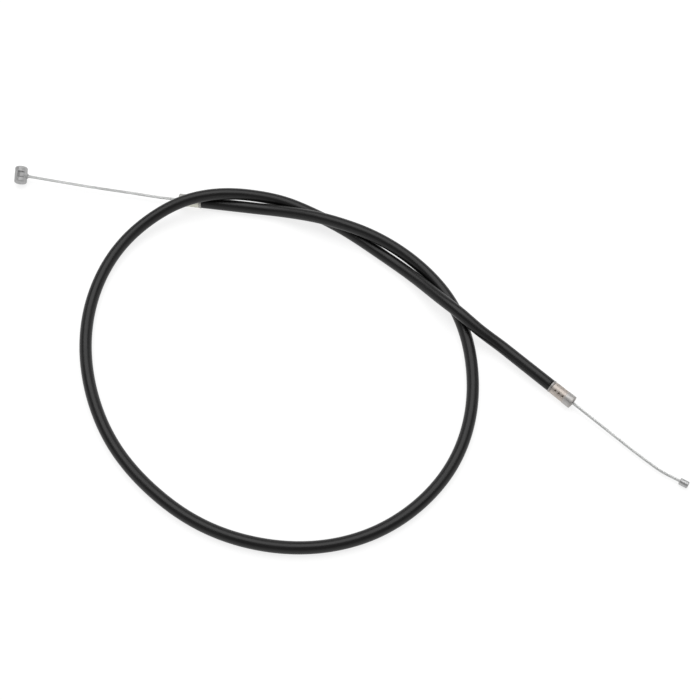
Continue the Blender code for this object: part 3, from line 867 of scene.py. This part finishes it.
def recess(radii, heights, off):
    """How far inside the recess each point lies, from 0 to 1, and the painted shade that it gets."""
    half_width = RECESS_WIDTH / 2
    half_length = RECESS_LENGTH / 2
    width = radii * np.sin(off)
    along = np.abs(heights + RECESS_SETOFF)
    inside = 1 - ease(np.abs(width), half_width - RECESS_EDGE_INSIDE, half_width + RECESS_EDGE_OUTSIDE)
    inside *= 1 - ease(along, half_length - RECESS_EDGE_INSIDE, half_length + RECESS_EDGE_OUTSIDE)
    inside *= np.abs(off) < RECESS_HALF_TURN
    # The recess is painted darker as painted shade: a dark rim round its edge, a little over its
    # floor, and most along its near end and its left wall
    foot = -RECESS_SETOFF - half_length
    nearer = 1 - ease(heights, foot + 0.00035, foot + 0.0009)
    left = 1 - ease(width, -0.0009, -0.0002)
    recess_shade = 4 * inside * (1 - inside) + inside * (0.35 + 0.55 * np.maximum(nearer, left))
    return inside, recess_shade


def wire_end_pit(radii, heights, angles):
    """How far inside the pit round the wire's end each point lies, from 0 to 1."""
    x, y, z = [np.array(direction) for direction in facing(BARREL_AXIS)]
    wire = np.array(THROTTLE_WIRE_END)
    points = radii[..., None] * (np.cos(angles)[..., None] * x + np.sin(angles)[..., None] * y)
    points = points + heights[..., None] * z
    along = points @ wire
    away = np.linalg.norm(points - along[..., None] * wire, axis=-1)
    return (along > 0) * (1 - ease(away, WIRE_END_PIT_FLAT, WIRE_END_PIT_REACH))


def barrel_press(radii, heights, angles):
    off = np.mod(angles - math.radians(RECESS_TURN) + math.pi, math.tau) - math.pi
    side = radii > BARREL_RADIUS - BARREL_SKIN
    inside, recess_shade = recess(radii, heights, off)
    floor = (BARREL_RADIUS - RECESS_DEPTH) / np.maximum(np.cos(off), 0.3)
    pressed = np.where(side, radii - inside * np.maximum(radii - floor, 0), radii)
    # A faint dark streak is painted down the same side: a painted dark reflection
    dark_streak = np.exp(-((off + math.radians(DARK_STREAK_TURN)) / DARK_STREAK_WIDTH) ** 2)
    dark_streak = dark_streak * (1 - ease(heights, 0.0010, 0.0018))
    marks = np.where(side, np.maximum(recess_shade, 0.35 * dark_streak), 0)
    # The wire's end shows in a small pit opposite the boss, which is painted darker as painted shade
    pit = wire_end_pit(radii, heights, angles)
    pressed = pressed - WIRE_END_PIT_DEPTH * pit
    marks = np.maximum(marks, 0.8 * pit)
    uneven = ripple(heights * 1500, 2 * np.cos(angles) + 3 * np.sin(angles), seed=11)
    return pressed + BARREL_UNEVENNESS * uneven * side, np.clip(marks, 0, 1)


def make_barrel():
    half = BARREL_LENGTH / 2
    profile = (
        (0.0, -half, 0),
        (BARREL_RADIUS, -half, BARREL_EDGE),
        (BARREL_RADIUS, half, BARREL_EDGE),
        (0.0, half, 0),
    )
    centre = BARREL_CENTRE
    body = turned_mesh("barrel", profile, BARREL_SIDES, centre, BARREL_AXIS, BARREL_STEP, barrel_press)
    boss_profile = [(radius, BARREL_RADIUS + rise, corner) for radius, rise, corner in BOSS_PROFILE]
    boss = turned_mesh("barrel_boss", boss_profile, BOSS_SIDES, centre, -THROTTLE_WIRE_END, BOSS_STEP)
    shape = bmesh.new()
    shape.from_mesh(body)
    shape.from_mesh(boss)
    shape.to_mesh(body)
    shape.free()
    bpy.data.meshes.remove(boss)
    body.shade_smooth()
    dark, pale = BARREL_TONES
    zinc = make_zinc("barrel_zinc", grey(dark), grey(pale), 0.56, 0.66)
    return add_piece("barrel", body, zinc, "throttle_end", ("barrel_nipple",))


# Cylinder nipple: a small turned and chamfered cylinder on the wire's other end

NIPPLE_SIDES = 96
NIPPLE_STEP = 0.00009
NIPPLE_UNEVENNESS = 0.000008
NIPPLE_SKIN = 0.00005
NIPPLE_TONES = (0.42, 0.50)
NIPPLE_CHAMFER = 0.00025
NIPPLE_HOLE_RADIUS = WIRE_RADIUS + 0.00004
NIPPLE_HOLE_DEPTH = 0.0009
NIPPLE_DISH_RADIUS = 0.00055
NIPPLE_DISH_DEPTH = 0.00012


def nipple_press(radii, heights, angles):
    uneven = ripple(heights * 2100, 2 * np.cos(angles) - 2 * np.sin(angles), seed=21)
    side = radii > NIPPLE_RADIUS - NIPPLE_SKIN
    # A thin ring round the wire's hole is painted dark: painted shade where the wire goes in
    marks = 0.8 * (heights < 0.00002) * (radii < WIRE_RADIUS + 0.00012)
    return radii + NIPPLE_UNEVENNESS * uneven * side, marks + 0 * radii


def make_nipple():
    profile = (
        (0.0, NIPPLE_HOLE_DEPTH, 0),
        (NIPPLE_HOLE_RADIUS, NIPPLE_HOLE_DEPTH, 0),
        (NIPPLE_HOLE_RADIUS, 0.00008, 0.00006),
        (WIRE_RADIUS + 0.00014, 0.0, 0.00004),
        (NIPPLE_RADIUS - NIPPLE_CHAMFER, 0.0, 0.00005),
        (NIPPLE_RADIUS, NIPPLE_CHAMFER, 0.00006),
        (NIPPLE_RADIUS, NIPPLE_LENGTH - NIPPLE_CHAMFER, 0.00006),
        (NIPPLE_RADIUS - NIPPLE_CHAMFER, NIPPLE_LENGTH, 0.00006),
        (NIPPLE_DISH_RADIUS, NIPPLE_LENGTH, 0.00010),
        (0.0, NIPPLE_LENGTH - NIPPLE_DISH_DEPTH, 0),
    )
    start = NIPPLE_START
    mesh = turned_mesh("nipple", profile, NIPPLE_SIDES, start, NIPPLE_AXIS, NIPPLE_STEP, nipple_press)
    dark, pale = NIPPLE_TONES
    zinc = make_zinc("nipple_zinc", grey(dark), grey(pale), 0.36, 0.44)
    return add_piece("nipple", mesh, zinc, "carburettor_end", ("cylinder_nipple",))


make_jacket()
make_ferrule(
    "throttle_ferrule",
    THROTTLE_FERRULE_LENGTH,
    THROTTLE_DENT_ANGLE,
    THROTTLE_ORIGIN,
    THROTTLE_AXIS,
    seed=3,
    tones=THROTTLE_PLATING,
)
make_ferrule(
    "carburettor_ferrule",
    CARBURETTOR_FERRULE_LENGTH,
    CARBURETTOR_DENT_ANGLE,
    CARBURETTOR_ORIGIN,
    CARBURETTOR_AXIS,
    seed=7,
    tones=CARBURETTOR_PLATING,
)
strand = make_strand("strand_steel")
throttle_wire, throttle_line = make_wire(
    "throttle_strand", throttle_wire_line(), "throttle_end", strand, "throttle_wire"
)
carburettor_wire, carburettor_line = make_wire(
    "carburettor_strand", carburettor_wire_line(), "carburettor_end", strand, "carburettor_wire"
)
make_barrel()
make_nipple()

# The CAD pieces inside the casing stay, each with a finish: dark and pale tone, roughness and metal
HIDDEN_FINISHES = (
    ("conduit", "conduit_steel", (0.36, 0.36, 0.37, 1), (0.48, 0.48, 0.49, 1), 0.40, 1.0),
    ("liner", "liner_plastic", (0.68, 0.69, 0.66, 1), (0.78, 0.79, 0.77, 1), 0.45, 0.0),
    ("inner_wire_run", "hidden_steel", (0.45, 0.46, 0.47, 1), (0.58, 0.59, 0.60, 1), 0.35, 1.0),
)
for name, *finish in HIDDEN_FINISHES:
    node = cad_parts[name]
    node.data.materials.clear()
    node.data.materials.append(make_hidden(*finish))


# Floor, background and light

FLOOR_REACH = 6.0
FLOOR_TONE = 0.80
FLOOR_SEEN_TONE = 0.32
# The seen floor's glow: its strength near the object, and far away
GLOW_NEAR_AT = 0.35
GLOW_FAR_AT = 1.6
GLOW_NEAR = 0.79
GLOW_FAR = 0.91
# The world's light on the object, and how dark its ceiling is where metal mirrors it
WORLD_LIGHT = 0.33
CEILING_TONE = 0.30


def make_floor():
    mesh = bpy.data.meshes.new("floor")
    corners = ((-1, -1), (1, -1), (1, 1), (-1, 1))
    mesh.from_pydata([(x * FLOOR_REACH, y * FLOOR_REACH, 0) for x, y in corners], [], [(0, 1, 2, 3)])
    floor = bpy.data.objects.new("floor", mesh)
    bpy.context.scene.collection.objects.link(floor)
    material = bpy.data.materials.new("pale_floor")
    material.use_nodes = True
    nodes = Nodes(material.node_tree)
    nodes.tree.nodes.clear()
    plain = nodes.node("ShaderNodeBsdfDiffuse", Color=grey(FLOOR_TONE))
    shaded = nodes.node("ShaderNodeBsdfDiffuse", Color=grey(FLOOR_SEEN_TONE))
    # The floor brightens a little away from the lamp, so that it has no grey far edge
    reached = nodes.node("ShaderNodeVectorMath", {"operation": "LENGTH"})
    nodes.feed(reached.inputs[0], nodes.node("ShaderNodeTexCoord").outputs["Object"])
    distance = reached.outputs["Value"]
    level = nodes.spread(distance, GLOW_NEAR_AT, GLOW_FAR_AT, GLOW_NEAR, GLOW_FAR, "LINEAR")
    glow = nodes.node("ShaderNodeEmission", Strength=level)
    total = nodes.node("ShaderNodeAddShader")
    nodes.feed(total.inputs[0], shaded.outputs[0])
    nodes.feed(total.inputs[1], glow.outputs[0])
    seen = nodes.node("ShaderNodeMixShader")
    nodes.feed(seen.inputs[0], nodes.ray_is("Camera", "Glossy", "Transmission"))
    nodes.feed(seen.inputs[1], plain.outputs[0])
    nodes.feed(seen.inputs[2], total.outputs[0])
    nodes.node("ShaderNodeOutputMaterial", Surface=seen.outputs[0])
    mesh.materials.append(material)


def make_world():
    world = bpy.data.worlds.new("studio")
    bpy.context.scene.world = world
    world.use_nodes = True
    nodes = Nodes(world.node_tree)
    background = nodes.tree.nodes["Background"]
    nodes.feed(background.inputs["Color"], grey(1))
    # A pale wall all round with a greyer ceiling over it is what the metal and the plastic reflect
    place = nodes.node("ShaderNodeTexCoord").outputs["Generated"]
    apart = nodes.node("ShaderNodeSeparateXYZ", Vector=place)
    ceiling = nodes.spread(apart.outputs["Z"], 0.15, 0.60, 1.0, CEILING_TONE)
    lit = nodes.mix(nodes.ray_is("Glossy"), WORLD_LIGHT, ceiling)
    strength = nodes.mix(nodes.ray_is("Camera", "Transmission"), lit, 1.0)
    nodes.feed(background.inputs["Strength"], strength)


def make_lamp(name, elevation, distance, size, power):
    lamp = bpy.data.lights.new(name, "AREA")
    lamp.shape = "RECTANGLE"
    lamp.size = size[0]
    lamp.size_y = size[1]
    lamp.energy = power
    item = bpy.data.objects.new(name, lamp)
    bpy.context.scene.collection.objects.link(item)
    tilt = math.radians(elevation)
    place = Vector((0.0, math.cos(tilt), math.sin(tilt))) * distance
    item.location = place
    item.rotation_euler = (-place).to_track_quat("-Z", "Y").to_euler()


make_floor()
make_world()
make_lamp("soft_top", elevation=71.0, distance=1.1, size=(1.3, 1.0), power=9.0)
bpy.context.scene.view_settings.view_transform = "Standard"
